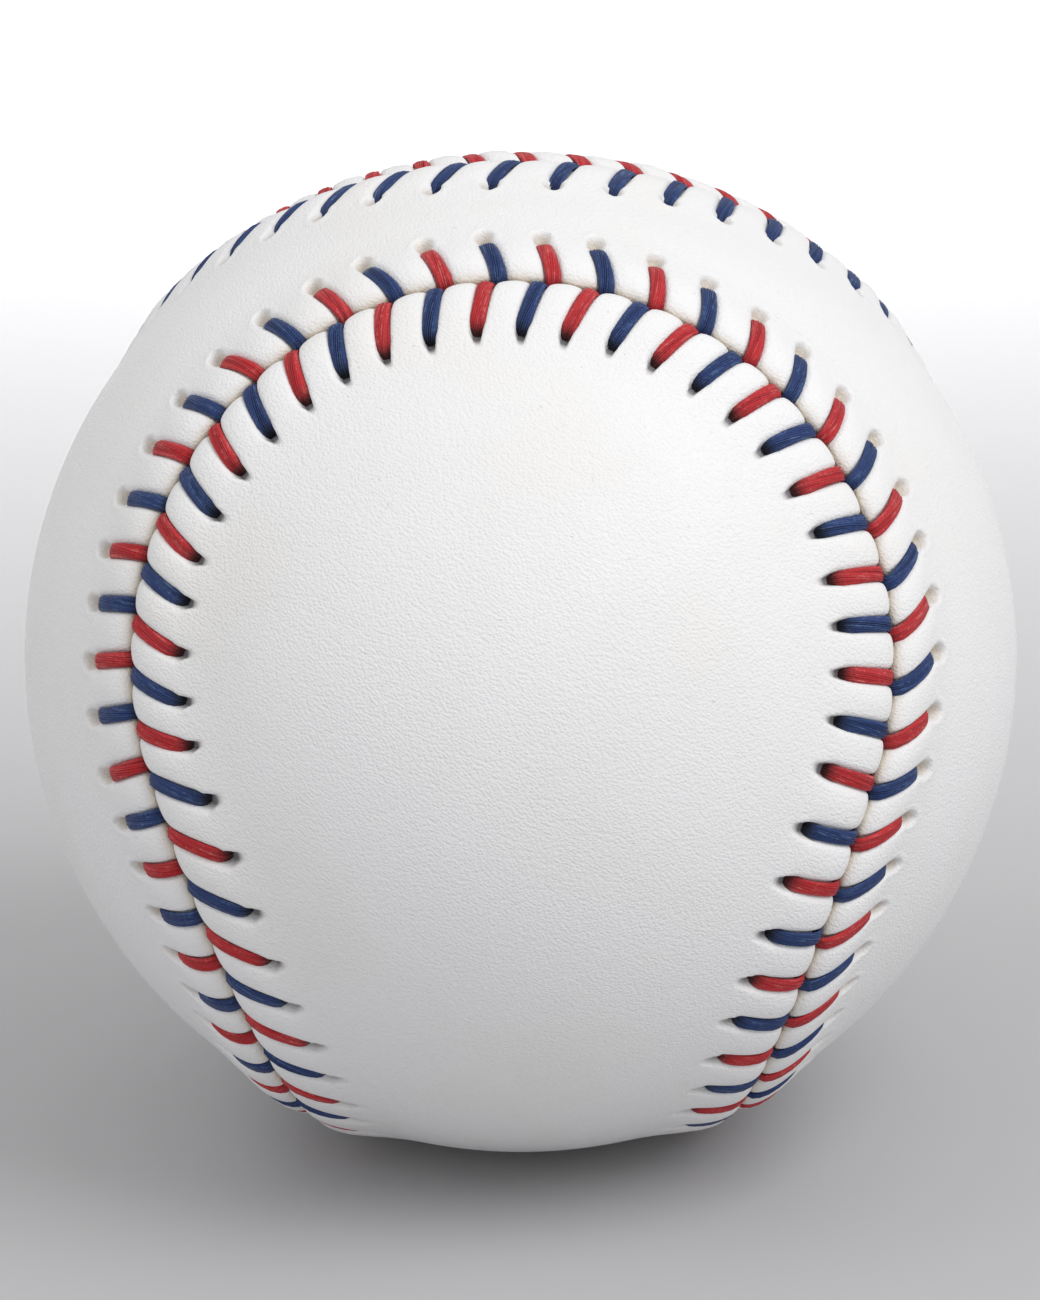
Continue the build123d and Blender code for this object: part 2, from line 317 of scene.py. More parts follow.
def leather_surface(seam, leather, side, stitch, row):
    """Along, across, height, crease tint (raw leather colour and painted crease shade) and painted hole shade of
    the outer leather at stitch numbers and row offsets.
    """
    nearest = np.round(stitch)
    away = (stitch - nearest) * seam.pitch
    edge = 0.05 + 0.6 * np.exp(-(away / 0.8) ** 2)
    offset = row + edge * np.exp(-row / 0.9)
    along = seam.leg_along(stitch, side, offset)
    gain = seam.between(seam.pillow_gain, side, stitch - 0.5)
    height = ridge_profile(offset, edge, leather) * gain
    height = height * (1.0 - 0.2 * (1.0 - wave(np.abs(away) / (0.5 * seam.pitch))))
    groove = 1.0 - wave((np.abs(away) - 0.34) / 0.56)
    reach = wave((5.5 - offset) / 1.3)
    height = height - leather.groove_depth / MM * groove * reach * np.minimum(1.0, offset / 0.6)
    shift = seam.between(seam.hole_shift, side, nearest)
    beyond = offset - seam.hole_offset - shift
    if side > 0:
        span = np.sqrt(((beyond - 0.4) / 0.95) ** 2 + (away / 0.6) ** 2)
        pit = 1.0 - wave((span - 0.5) / 0.62)
        lip = 0.07 * np.exp(-((span - 1.35) / 0.3) ** 2)
        # raw leather colour and painted shade along the seam edge and in the holes
        crease_raw_and_painted_shade = pit + 0.95 * np.exp(-row / 0.26)
        painted_hole_shade = 0.1 * pit
    else:
        slope = np.clip((1.5 - beyond) / 1.4, 0.0, 1.0)
        pit = 1.0 - wave((np.abs(away) / (0.36 + 0.28 * slope) - 0.4) / 0.62)
        pit = pit * slope * wave((beyond + 1.1) / 0.5)
        lip = 0.0
        crease_raw_and_painted_shade = 0.15 * pit + 0.9 * np.exp(-row / 0.16)
        # painted shade in the holes of the lower panel; the upper panel's holes get a slight one
        painted_hole_shade = 0.82 * pit ** 1.7
    height = np.maximum(height - leather.pit_depth / MM * pit + lip, HOLE_FLOOR)
    return along, offset * side, height, np.clip(crease_raw_and_painted_shade, 0.0, 1.0), painted_hole_shade


def field_fill(loop, inside, side):
    """Triangles through a loop of directions and scattered ones inside it, laid flat from the far pole."""
    every = np.concatenate([loop, inside])
    flat = every[:, :2] / (1.0 + side * every[:, 2:])
    count = len(loop)
    edges = [(i, (i + 1) % count) for i in range(count)]
    found = delaunay_2d_cdt([Vector(p) for p in flat.tolist()], edges, [], 1, 1e-7, True)
    source = [ids[0] if ids else -1 for ids in found[3]]
    faces = [[source[v] for v in face] for face in found[2]]
    return [f for f in faces if min(f) >= 0]


def spread_directions(count):
    """Evenly spread directions on a sphere."""
    index = np.arange(count) + 0.5
    z = 1 - 2 * index / count
    turn = index * math.pi * (3 - math.sqrt(5))
    ring = np.sqrt(1 - z * z)
    return np.stack([ring * np.cos(turn), ring * np.sin(turn), z], -1)


def make_panel(seam, leather, side, name):
    """One closed leather panel with pillows, stitch grooves, punched pits and an underside."""
    half = seam.pitch / 2
    steps = np.array([-1.62, -1.32, -1.04, -0.8, -0.6, -0.44, -0.3, -0.15, 0.0,
                      0.15, 0.3, 0.44, 0.6, 0.8, 1.04, 1.32, 1.62, half]) / seam.pitch
    stitch = (np.arange(seam.count)[:, None] + steps[None, :]).ravel()
    rows = np.array([0.0, 0.05, 0.13, 0.25, 0.42, 0.63, 0.9, 1.2, 1.55, 1.95, 2.4, 2.85, 3.3, 3.7, 4.0, 4.25, 4.45,
                     4.62, 4.78, 4.94, 5.1, 5.26, 5.42, 5.58, 5.75, 5.92, 6.1, 6.3, 6.55, 6.9, 7.35, 7.85, 8.4,
                     STRIP_WIDTH])
    columns = len(stitch)
    along, across, height, *tints = leather_surface(seam, leather, side, stitch[None, :], rows[:, None])
    top = seam.points(along, across, height)
    thick = leather.thickness / MM
    under_rows = [(0.0, -0.62), (0.6, -0.62), (5.3, -0.85), (5.8, -thick), (STRIP_WIDTH, -thick)]
    edge_across = across[0] / side
    under = []
    for offset, low in under_rows:
        reach = offset + edge_across * math.exp(-offset / 0.9)
        reach = np.full_like(edge_across, STRIP_WIDTH) if offset >= STRIP_WIDTH else reach
        place = seam.leg_along(stitch, side, reach)
        under.append(seam.points(place, reach * side, low))
    grid = [*top[::-1], *under]
    verts = np.concatenate(grid)
    # underside: raw leather colour in the crease tint, no painted hole shade
    raw = np.full(len(under) * columns, 0.6)
    crease_raw_and_painted_shade, painted_hole_shade = (np.concatenate([tint[::-1].ravel(), raw * share]) for tint, share in zip(tints, (1.0, 0.0)))
    faces = []
    forward = np.arange(columns)
    nxt = np.roll(forward, -1)
    for r in range(len(grid) - 1):
        a, b = r * columns, (r + 1) * columns
        quad = np.stack([a + forward, a + nxt, b + nxt, b + forward], -1)
        faces.append(quad if side < 0 else quad[:, ::-1])
    quads = np.concatenate(faces)
    scatter = spread_directions(FIELD_DIRECTIONS)
    room = seam.across(scatter) * side
    inside = scatter[room > STRIP_WIDTH + 0.5]
    tris = []
    for row_index, radius in ((0, seam.radius), (len(grid) - 1, seam.radius - thick)):
        loop = grid[row_index]
        fill = field_fill(loop / np.linalg.norm(loop, axis=1)[:, None], inside, side)
        base = len(verts)
        verts = np.concatenate([verts, inside * radius])
        crease_raw_and_painted_shade = np.concatenate([crease_raw_and_painted_shade, np.full(len(inside), 0.0 if row_index == 0 else 0.6)])
        painted_hole_shade = np.concatenate([painted_hole_shade, np.zeros(len(inside))])
        lift = np.concatenate([row_index * columns + forward, base + np.arange(len(inside))])
        fill = lift[np.array(fill)]
        corner = verts[fill]
        middle = corner.mean(1) / np.linalg.norm(corner.mean(1), axis=1)[:, None]
        kept = seam.across(middle) * side > STRIP_WIDTH - 1e-5
        fill, corner = fill[kept], corner[kept]
        across_face = np.cross(corner[:, 1] - corner[:, 0], corner[:, 2] - corner[:, 0])
        facing = np.einsum("ij,ij->i", across_face, corner.mean(1))
        wrong = facing < 0 if row_index == 0 else facing > 0
        fill[wrong] = fill[wrong][:, ::-1]
        tris.append(fill)
    mesh = bpy.data.meshes.new(name)
    mesh.from_pydata((verts * MM).tolist(), [], quads.tolist() + np.concatenate(tris).tolist())
    for label, tint in (("crease_raw_and_painted_shade", crease_raw_and_painted_shade), ("painted_hole_shade", painted_hole_shade)):
        mesh.attributes.new(label, "FLOAT", "POINT").data.foreach_set("value", tint.astype(np.float32))
    mesh.shade_smooth()
    mesh.validate()
    mesh.update()
    return new_object(name, mesh)


def stitch_side(seam, stitch, colour):
    """In front the threads change sides at every stitch, behind each keeps to its own side."""
    in_front = -seam.per_arc < stitch <= seam.per_arc
    red = 1 if in_front and stitch % 2 != 0 else -1
    return red if colour == "red" else -red


def thread_course(seam, colour):
    """Points of a whole thread in millimetres, the direction across its flat lay and the painted shade on it where
    it sinks into the leather.
    """
    points, sideways, painted_sunk_shade = [], [], []
    first = 1 - seam.per_arc
    for number in range(first, first + seam.count):
        stitch = np.array(float(number))
        side = stitch_side(seam, number, colour)
        after = stitch_side(seam, number + 1, colour)
        shift = seam.between(seam.hole_shift, side, stitch)
        leg = []
        for offset, height in LEG_COURSE:
            place = seam.leg_along(stitch, side, np.array(offset))
            leg.append(seam.points(place, (offset + shift * min(1.0, offset / 4.0)) * side, height))
        leg = np.array(leg)
        course = [leg]
        # painted shade: the thread is painted darker the deeper it sinks, most in the holes of the lower panel
        depth = np.clip((0.34 - np.array([height for offset, height in LEG_COURSE])) / 0.6, 0.0, 1.0)
        painted_sunk_shade.extend(depth * np.where(np.arange(len(depth)) < LEG_HOLE_POINTS, 1.0 if side < 0 else 0.3, 0.55))
        if number < first + seam.count - 1:
            following = np.array(number + 1.0)
            start = seam.leg_along(stitch, side, np.array(LEG_COURSE[-1][0]))
            stop = seam.leg_along(following, after, np.array(LEG_COURSE[0][0]))
            share = np.array([0.3, 0.7])
            across = after * LEG_COURSE[0][0] * share
            course.append(seam.points(start + (stop - start) * share, across, UNDER_HEIGHT))
            painted_sunk_shade.extend([1.0, 1.0])
        for run in course:
            heading = run[-1] - run[0]
            outward = run.mean(0)
            flat = np.cross(heading, outward)
            flat = flat / np.linalg.norm(flat)
            if sideways and np.dot(flat, sideways[-1]) < 0:
                flat = -flat
            points.extend(run)
            sideways.extend([flat] * len(run))
    return np.array(points), np.array(sideways), np.array(painted_sunk_shade)


class Tree:
    """Short hand for building a node tree."""

    def __init__(self, tree):
        self.tree = tree

    def put(self, node, inputs):
        """Links outputs to a node's inputs or sets plain values, by the inputs' names or numbers."""
        for key, value in inputs.items():
            if isinstance(value, bpy.types.NodeSocket):
                self.tree.links.new(value, node.inputs[key])
            else:
                node.inputs[key].default_value = value

    def node(self, kind, inputs=None, **settings):
        made = self.tree.nodes.new(kind)
        for key, value in settings.items():
            setattr(made, key, value)
        self.put(made, inputs or {})
        return made

    def math(self, operation, *values):
        return self.node("ShaderNodeMath", dict(enumerate(values)), operation=operation).outputs[0]

    def vector(self, operation, *values, **named):
        inputs = {**dict(enumerate(values)), **named}
        return self.node("ShaderNodeVectorMath", inputs, operation=operation).outputs["Vector"]


def new_node_tree(name, inputs):
    """Geometry node tree with a geometry in and out and named inputs."""
    tree = bpy.data.node_groups.new(name, "GeometryNodeTree")
    tree.interface.new_socket(name="Geometry", in_out="OUTPUT", socket_type="NodeSocketGeometry")
    for label, kind in {"Geometry": "Geometry", **inputs}.items():
        tree.interface.new_socket(name=label, in_out="INPUT", socket_type="NodeSocket" + kind)
    build = Tree(tree)
    return tree, build, build.node("NodeGroupInput").outputs


def store(build, geometry, name, value, domain="POINT"):
    """Keeps a value on the geometry under a name."""
    kept = build.node("GeometryNodeStoreNamedAttribute", {"Geometry": geometry, "Name": name, "Value": value},
                      data_type="FLOAT", domain=domain)
    return kept.outputs[0]


def tube(build, curve, radius, corners, caps):
    """Mesh round a curve."""
    ring = build.node("GeometryNodeCurvePrimitiveCircle", {"Resolution": corners, "Radius": radius}, mode="RADIUS")
    swept = build.node("GeometryNodeCurveToMesh", {
        "Curve": curve, "Profile Curve": ring.outputs[0], "Fill Caps": caps})
    return swept.outputs[0]


def finish_tree(build, geometry, material):
    """Ends a tree in smooth shading, Realize Instances and Set Material."""
    smooth = build.node("GeometryNodeSetShadeSmooth", {"Geometry": geometry})
    real = build.node("GeometryNodeRealizeInstances", {0: smooth.outputs[0]})
    paint = build.node("GeometryNodeSetMaterial", {"Geometry": real.outputs[0], "Material": material})
    build.node("NodeGroupOutput", {0: paint.outputs[0]})


def plied_thread_tree():
    """Lays the plies of a flat thread along a course of points."""
    tree, build, given = new_node_tree("plied thread", {
        "Strands": "Int", "Strand Radius": "Float", "Half Width": "Float", "Half Height": "Float",
        "Lay Length": "Float", "Seed": "Int", "Material": "Material"})
    curve = build.node("GeometryNodeMeshToCurve", {0: given["Geometry"]})
    plies = build.node("GeometryNodeDuplicateElements", domain="SPLINE")
    build.put(plies, {"Geometry": curve.outputs[0], "Amount": given["Strands"]})
    number = plies.outputs["Duplicate Index"]
    length = build.node("GeometryNodeSplineParameter").outputs["Length"]
    start = build.math("DIVIDE", number, given["Strands"])
    turns = build.math("ADD", start, build.math("DIVIDE", length, given["Lay Length"]))
    angle = build.math("MULTIPLY", turns, math.tau)
    named = build.node("GeometryNodeInputNamedAttribute", {"Name": "sideways"}, data_type="FLOAT_VECTOR")
    flat = named.outputs["Attribute"]
    tangent = build.node("GeometryNodeInputTangent").outputs[0]
    upward = build.vector("NORMALIZE", build.vector("CROSS_PRODUCT", flat, tangent))
    wide = build.math("MULTIPLY", build.math("SINE", angle), given["Half Width"])
    high = build.math("MULTIPLY", build.math("COSINE", angle), given["Half Height"])
    shift = build.vector("ADD", build.vector("SCALE", flat, Scale=wide), build.vector("SCALE", upward, Scale=high))
    moved = build.node("GeometryNodeSetPosition", {"Geometry": plies.outputs["Geometry"], "Offset": shift})
    tone = build.node("FunctionNodeRandomValue", data_type="FLOAT")
    build.put(tone, {"ID": number, "Seed": given["Seed"]})
    laid = store(build, moved.outputs[0], "ply_tone", tone.outputs[1])
    laid = store(build, laid, "ply_run", length)
    finish_tree(build, tube(build, laid, given["Strand Radius"], 3, True), given["Material"])
    return tree


def wound_yarn_tree():
    """Winds turns of yarn over a ball of the turns below, each turn a little farther out than the last."""
    tree, build, given = new_node_tree("wound yarn", {
        "Turns": "Int", "Yarn Radius": "Float", "Inner Radius": "Float", "Outer Radius": "Float",
        "Seed": "Int", "Material": "Material"})
    places = build.node("GeometryNodePoints", {"Count": given["Turns"]})
    tilt = build.node("FunctionNodeRandomValue", data_type="FLOAT_VECTOR")
    build.put(tilt, {"Min": (-1.0, -1.0, -1.0), "Seed": given["Seed"]})
    aim = build.node("FunctionNodeAlignRotationToVector", {"Vector": tilt.outputs[0]}, axis="Z")
    turn = build.node("GeometryNodeCurvePrimitiveCircle", {"Resolution": 64, "Radius": 1.0}, mode="RADIUS")
    share = build.math("DIVIDE", build.node("GeometryNodeInputIndex").outputs[0], given["Turns"])
    room = build.math("SUBTRACT", given["Outer Radius"], given["Inner Radius"])
    reach = build.math("MULTIPLY_ADD", share, room, given["Inner Radius"])
    laid = build.node("GeometryNodeInstanceOnPoints", {
        "Points": places.outputs[0], "Instance": turn.outputs[0], "Rotation": aim.outputs[0], "Scale": reach})
    real = build.node("GeometryNodeRealizeInstances", {0: laid.outputs[0]})
    tone = build.node("FunctionNodeRandomValue", {"Seed": given["Seed"]}, data_type="FLOAT")
    yarn = store(build, real.outputs[0], "ply_tone", tone.outputs[1], "CURVE")
    yarn = store(build, yarn, "ply_run", build.node("GeometryNodeSplineParameter").outputs["Length"])
    both = build.node("GeometryNodeJoinGeometry", {0: given["Geometry"]})
    build.put(both, {0: tube(build, yarn, given["Yarn Radius"], 4, False)})
    finish_tree(build, both.outputs[0], given["Material"])
    return tree


def grow(source, tree, values, name):
    """Plain mesh object of what a node tree makes of a source object, which is then removed."""
    modifier = source.modifiers.new(tree.name, "NODES")
    modifier.node_group = tree
    sockets = {item.name: item.identifier for item in tree.interface.items_tree
               if item.item_type == "SOCKET" and item.in_out == "INPUT"}
    for label, value in values.items():
        modifier[sockets[label]] = value
    bpy.context.view_layer.update()
    seen = source.evaluated_get(bpy.context.evaluated_depsgraph_get())
    mesh = bpy.data.meshes.new_from_object(seen)
    mesh.name = name
    source.modifiers.clear()
    bpy.data.objects.remove(source)
    return new_object(name, mesh)


def hollow_ball(name, outer, inner):
    """Closed shell between two radii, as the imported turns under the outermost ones."""
    work = bmesh.new()
    bmesh.ops.create_icosphere(work, subdivisions=4, radius=outer)
    kept = set(work.faces)
    bmesh.ops.create_icosphere(work, subdivisions=4, radius=inner)
    bmesh.ops.reverse_faces(work, faces=[face for face in work.faces if face not in kept])
    mesh = bpy.data.meshes.new(name)
    work.to_mesh(mesh)
    work.free()
    return new_object(name, mesh)


def make_winding(settings, tree, node, below, yarn, turns, material):
    """One winding of yarn in the space of its solid, over the layer below."""
    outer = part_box(node)[1].z - 0.1 * MM
    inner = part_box(below)[1].z + 0.05 * MM
    packed = hollow_ball(node + "_packed", max(outer - 2.2 * yarn, (outer + inner) / 2), inner)
    return grow(packed, tree, {
        "Turns": turns, "Yarn Radius": yarn / 2, "Inner Radius": max(outer - 2.4 * yarn, inner + yarn / 2),
        "Outer Radius": outer - yarn / 2, "Seed": settings.seed, "Material": material}, node + "_yarn")


def make_thread(seam, settings, colour, material, tree):
    """One plied thread laid along its course."""
    points, sideways, painted_sunk_shade = thread_course(seam, colour)
    mesh = bpy.data.meshes.new(colour + "_thread_course")
    edges = [(i, i + 1) for i in range(len(points) - 1)]
    mesh.from_pydata((points * MM).tolist(), edges, [])
    data = mesh.attributes.new("sideways", "FLOAT_VECTOR", "POINT")
    data.data.foreach_set("vector", sideways.astype(np.float32).ravel())
    mesh.attributes.new("painted_sunk_shade", "FLOAT", "POINT").data.foreach_set("value", painted_sunk_shade.astype(np.float32))
    return grow(new_object(mesh.name, mesh), tree, {
        "Strands": settings.strands, "Strand Radius": settings.strand_radius, "Half Width": settings.half_width,
        "Half Height": settings.half_height, "Lay Length": settings.lay_length,
        "Seed": 3 if colour == "red" else 8, "Material": material}, colour + "_laced_thread")


def new_material(name):
    """A material with its tree and shader."""
    material = bpy.data.materials.new(name)
    material.use_nodes = True
    return material, Tree(material.node_tree), material.node_tree.nodes["Principled BSDF"]


def object_place(build):
    """Place in the object's own frame."""
    return build.node("ShaderNodeTexCoord").outputs["Object"]


def attribute(build, name):
    """A value kept on the mesh."""
    return build.node("ShaderNodeAttribute", attribute_name=name).outputs["Fac"]


def noise(build, place, scale, detail=4.0, roughness=0.55):
    """Cloudy values."""
    made = build.node("ShaderNodeTexNoise", {
        "Vector": place, "Scale": scale, "Detail": detail, "Roughness": roughness})
    return made.outputs["Fac"]


def ramp(build, value, low, high):
    """Soft step of a value between two limits."""
    made = build.node("ShaderNodeMapRange", {"Value": value, "From Min": low, "From Max": high},
                      interpolation_type="SMOOTHSTEP")
    return made.outputs["Result"]


def mix(build, share, a, b):
    """Blend of two colours."""
    ends = {key: end if isinstance(end, bpy.types.NodeSocket) else (*end, 1.0) for key, end in ((6, a), (7, b))}
    return build.node("ShaderNodeMix", {"Factor": share, **ends}, data_type="RGBA").outputs[2]


def bump(build, height, distance):
    """Normal of a fine relief."""
    return build.node("ShaderNodeBump", {"Height": height, "Distance": distance}).outputs["Normal"]


def leather_material(settings):
    """White full-grain leather with fine pebbles, pores, raw leather colour and painted shade in the creases and
    holes, and painted dark shade in the holes of the lower panel.
    """
    material, build, shader = new_material("white leather")
    place = object_place(build)
    stretch = build.node("ShaderNodeMapping", vector_type="TEXTURE")
    build.put(stretch, {"Vector": place, "Rotation": (0.0, 0.5, 0.0), "Scale": (1.25, 1.0, 0.9)})
    cells = build.node("ShaderNodeTexVoronoi", feature="SMOOTH_F1")
    build.put(cells, {"Vector": stretch.outputs["Vector"], "Scale": 4700.0, "Smoothness": 0.45})
    pebble = build.math("SUBTRACT", 1.0, cells.outputs["Distance"])
    fine = noise(build, place, 8600.0, 3.0)
    patch = noise(build, place, 240.0, 3.0)
    pores = ramp(build, noise(build, place, 1900.0, 2.0), 0.69, 0.78)
    grain = build.math("ADD", pebble, build.math("MULTIPLY", fine, 0.5))
    grain = build.math("ADD", grain, build.math("MULTIPLY", patch, 0.9))
    grain = build.math("SUBTRACT", grain, build.math("MULTIPLY", pores, 0.5))
    cloudy = ramp(build, noise(build, place, 60.0, 3.0), 0.4, 0.7)
    base = tuple(settings.colour)
    warm = (base[0] * 0.985, base[1] * 0.975, base[2] * 0.955)
    colour = mix(build, cloudy, base, warm)
    colour = mix(build, build.math("MULTIPLY", pores, 0.12), colour, (0.6, 0.55, 0.5))
    # raw leather colour and painted crease shade
    crease_raw_and_painted_shade = build.math("MULTIPLY", attribute(build, "crease_raw_and_painted_shade"), 0.85)
    colour = mix(build, crease_raw_and_painted_shade, colour, settings.raw_leather_and_painted_shade_colour)
    # painted shade in the stitch holes
    colour = mix(build, attribute(build, "painted_hole_shade"), colour, settings.painted_hole_shade_colour)
    build.put(shader, {
        "Base Color": colour, "Normal": bump(build, grain, 0.000056),
        "Roughness": build.math("MULTIPLY_ADD", patch, 0.18, 0.44), "Specular IOR Level": 0.35})
    return material


def new_shader_group(name, size, *outputs):
    """Shader group with named outputs, its object place and the scale for its one size."""
    group = bpy.data.node_groups.new(name, "ShaderNodeTree")
    group.interface.new_socket(name=size, in_out="INPUT", socket_type="NodeSocketFloat")
    for label in outputs:
        group.interface.new_socket(name=label, in_out="OUTPUT", socket_type="NodeSocketFloat")
    build = Tree(group)
    scale = build.math("DIVIDE", 1.0, build.node("NodeGroupInput").outputs[size])
    return group, build, object_place(build), scale


def spun_fibre_group():
    """Fibre streaks along threads and yarns: light fibres, which on the threads also serve as painted highlights,
    shade and height. Built once.
    """
    made = bpy.data.node_groups.get("spun fibre")
    if made:
        return made
    group, build, place, scale = new_shader_group("spun fibre", "Streak Size", "Light Fibre And Highlight", "Shade", "Height")
    fibre = noise(build, place, scale, 5.0, 0.7)
    tone, run = attribute(build, "ply_tone"), attribute(build, "ply_run")
    course = build.node("ShaderNodeCombineXYZ", {
        "X": build.math("MULTIPLY", run, 420.0), "Y": build.math("MULTIPLY", tone, 90.0)})
    streak = noise(build, course.outputs[0], 1.0, 4.0, 0.6)
    strength = build.math("MULTIPLY_ADD", fibre, 0.4, build.math("MULTIPLY", streak, 0.6))
    shade = build.math("MULTIPLY_ADD", tone, 0.6, 0.6)
    shade = build.math("MULTIPLY", shade, build.math("MULTIPLY_ADD", fibre, 0.7, 0.65))
    shade = build.math("MULTIPLY", shade, build.math("MULTIPLY_ADD", streak, 1.0, 0.5))
    # light streaks along the plies: loose fibres, and on the threads painted highlights
    light = ramp(build, strength, 0.5, 0.68)
    build.node("NodeGroupOutput", {"Light Fibre And Highlight": light, "Shade": shade, "Height": fibre})
    return group


def thread_material(name, colour, light, group):
    """Waxed thread with light fibres that also serve as painted highlights, painted dark as shade where it dives
    into the leather.
    """
    material, build, shader = new_material(name)
    fibre = build.node("ShaderNodeGroup", {"Streak Size": 0.00022}, node_tree=group).outputs
    base = mix(build, fibre["Shade"], [c * 0.25 for c in colour], colour)
    # painted highlights along the light fibres
    base = mix(build, build.math("MULTIPLY", fibre["Light Fibre And Highlight"], 0.6), base, light)
    # painted shade where the thread sinks into the leather
    painted_sunk_shade = build.math("MULTIPLY", attribute(build, "painted_sunk_shade"), 0.92)
    base = mix(build, painted_sunk_shade, base, [c * 0.05 + 0.002 for c in colour])
    build.put(shader, {
        "Base Color": base, "Normal": bump(build, fibre["Height"], 0.00008), "Roughness": 0.55,
        "Sheen Weight": 0.08, "Sheen Roughness": 0.4})
    return material


def yarn_material(name, colour, group):
    """Soft spun yarn with lighter loose fibres."""
    material, build, shader = new_material(name)
    fibre = build.node("ShaderNodeGroup", {"Streak Size": 0.0005}, node_tree=group).outputs
    base = mix(build, fibre["Shade"], [c * 0.6 for c in colour], colour)
    light = [c + (1.0 - c) * 0.3 for c in colour]
    base = mix(build, build.math("MULTIPLY", fibre["Light Fibre And Highlight"], 0.5), base, light)
    build.put(shader, {
        "Base Color": base, "Normal": bump(build, fibre["Height"], 0.0002), "Roughness": 0.85,
        "Sheen Weight": 0.3, "Sheen Roughness": 0.5})
    return material


def cork_material(settings):
    """Pressed cork granules with dark bark specks."""
    material, build, shader = new_material("pressed cork")
    place = object_place(build)
    grains = build.node("ShaderNodeTexVoronoi", {"Vector": place, "Scale": 650.0, "Randomness": 1.0}, feature="F1")
    tone = build.node("ShaderNodeSeparateColor", {"Color": grains.outputs["Color"]})
    base = tuple(settings.cork)
    colour = mix(build, tone.outputs[0], [c * 0.7 for c in base], [min(1.0, c * 1.35) for c in base])
    specks = ramp(build, noise(build, place, 900.0, 3.0), 0.62, 0.7)
    colour = mix(build, specks, colour, [c * 0.2 for c in base])
    build.put(shader, {
        "Base Color": colour, "Normal": bump(build, grains.outputs["Distance"], 0.0002),
        "Roughness": build.math("MULTIPLY_ADD", noise(build, place, 400.0), 0.25, 0.65)})
    return material


def moulded_rubber_group():
    """Bloom, wear and fine skin of moulded rubber, used by the black and the red rubber."""
    group, build, place, scale = new_shader_group("moulded rubber", "Grain Size", "Bloom", "Rough", "Height")
    skin = noise(build, place, scale, 3.0, 0.5)
    bloom = ramp(build, noise(build, place, 130.0, 5.0), 0.45, 0.75)
    rough = build.math("MULTIPLY_ADD", bloom, 0.2, build.math("MULTIPLY_ADD", skin, 0.15, 0.45))
    build.node("NodeGroupOutput", {"Bloom": bloom, "Rough": rough, "Height": skin})
    return group


def rubber_material(name, colour, group):
    """Moulded rubber with a pale bloom."""
    material, build, shader = new_material(name)
    skin = build.node("ShaderNodeGroup", {"Grain Size": 0.0006}, node_tree=group).outputs
    pale = [c * 0.75 + 0.06 for c in colour]
    colour = mix(build, build.math("MULTIPLY", skin["Bloom"], 0.5), colour, pale)
    build.put(shader, {
        "Base Color": colour, "Roughness": skin["Rough"], "Normal": bump(build, skin["Height"], 0.00006)})
    return material


def make_floor(settings):
    """The plain floor that the ball stands on."""
    low, size = CAD_LOW.z, FLOOR_REACH
    mesh = bpy.data.meshes.new("floor")
    corners = [(-size, -size, low), (size, -size, low), (size, size, low), (-size, size, low)]
    mesh.from_pydata(corners, [], [(0, 1, 2, 3)])
    floor = new_object("floor", mesh)
    material, build, shader = new_material("pale floor")
    build.put(shader, {"Base Color": (*settings.floor_colour, 1.0), "Roughness": 0.8})
    mesh.materials.append(material)


def light_stage(scene, settings):
    """Even light all round, a key, a side light and light on the floor behind."""
    scene.world = bpy.data.worlds.new("studio")
    scene.world.use_nodes = True
    tree = scene.world.node_tree
    Tree(tree).put(tree.nodes["Background"], {"Color": (1.0, 1.0, 1.0, 1.0), "Strength": settings.fill})
    for name, place, target, power, spread in (
            ("key", (0.36, -0.26, 0.46), (0.0, 0.0, 0.0), settings.key_power, 180.0),
            ("side", (-0.46, -0.14, 0.45), (0.0, 0.0, 0.0), settings.side_power, 180.0),
            ("background", (0.0, 0.42, 0.45), (0.0, 0.42, -0.04), settings.background_power, 55.0)):
        light = bpy.data.lights.new(name, "AREA")
        light.energy = power
        light.size = LAMP_WIDTH
        light.spread = math.radians(spread)
        lamp = new_object(name, light)
        lamp.location = place
        lamp.rotation_mode = "QUATERNION"
        lamp.rotation_quaternion = (Vector(target) - Vector(place)).to_track_quat("-Z", "Y")


def aim_camera(scene, settings, radius):
    """The camera in the photograph's place, with the ball as large as in the photograph."""
    lens = bpy.data.cameras.new("camera")
    scene.camera = new_object("camera", lens)
    distance, roll = settings.camera_distance, settings.camera_roll
    yaw, rise = settings.camera_yaw, settings.camera_rise
    back = Vector((math.sin(yaw) * math.cos(rise), -math.cos(yaw) * math.cos(rise), math.sin(rise)))
    right = Vector((math.cos(yaw), math.sin(yaw), 0.0))
    up = back.cross(right)
    turned_right = right * math.cos(roll) + up * math.sin(roll)
    turned_up = up * math.cos(roll) - right * math.sin(roll)
    columns = (turned_right, turned_up, back, back * distance)
    scene.camera.matrix_world = Matrix((*zip(*columns), (0, 0, 0, 1)))
    pixels = BALL_PIXELS * math.sqrt((distance / radius) ** 2 - 1)
    lens.sensor_width = 36.0
    lens.lens = pixels / FRAME_HEIGHT * lens.sensor_width
    lens.shift_x, lens.shift_y = (shift / FRAME_HEIGHT for shift in FRAME_SHIFT)
    lens.clip_start, lens.clip_end = 0.01, 50.0


def dress(slot, material, *nodes):
    """Gives CAD nodes that stay as they are their material."""
    for node in nodes:
        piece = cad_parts[node]
        piece.data.materials.clear()
        piece.data.materials.append(material)


def stand_in(piece, slot, *nodes):
    """Puts a finished piece in the place of CAD nodes."""
    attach(piece, "root")
    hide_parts(*nodes)


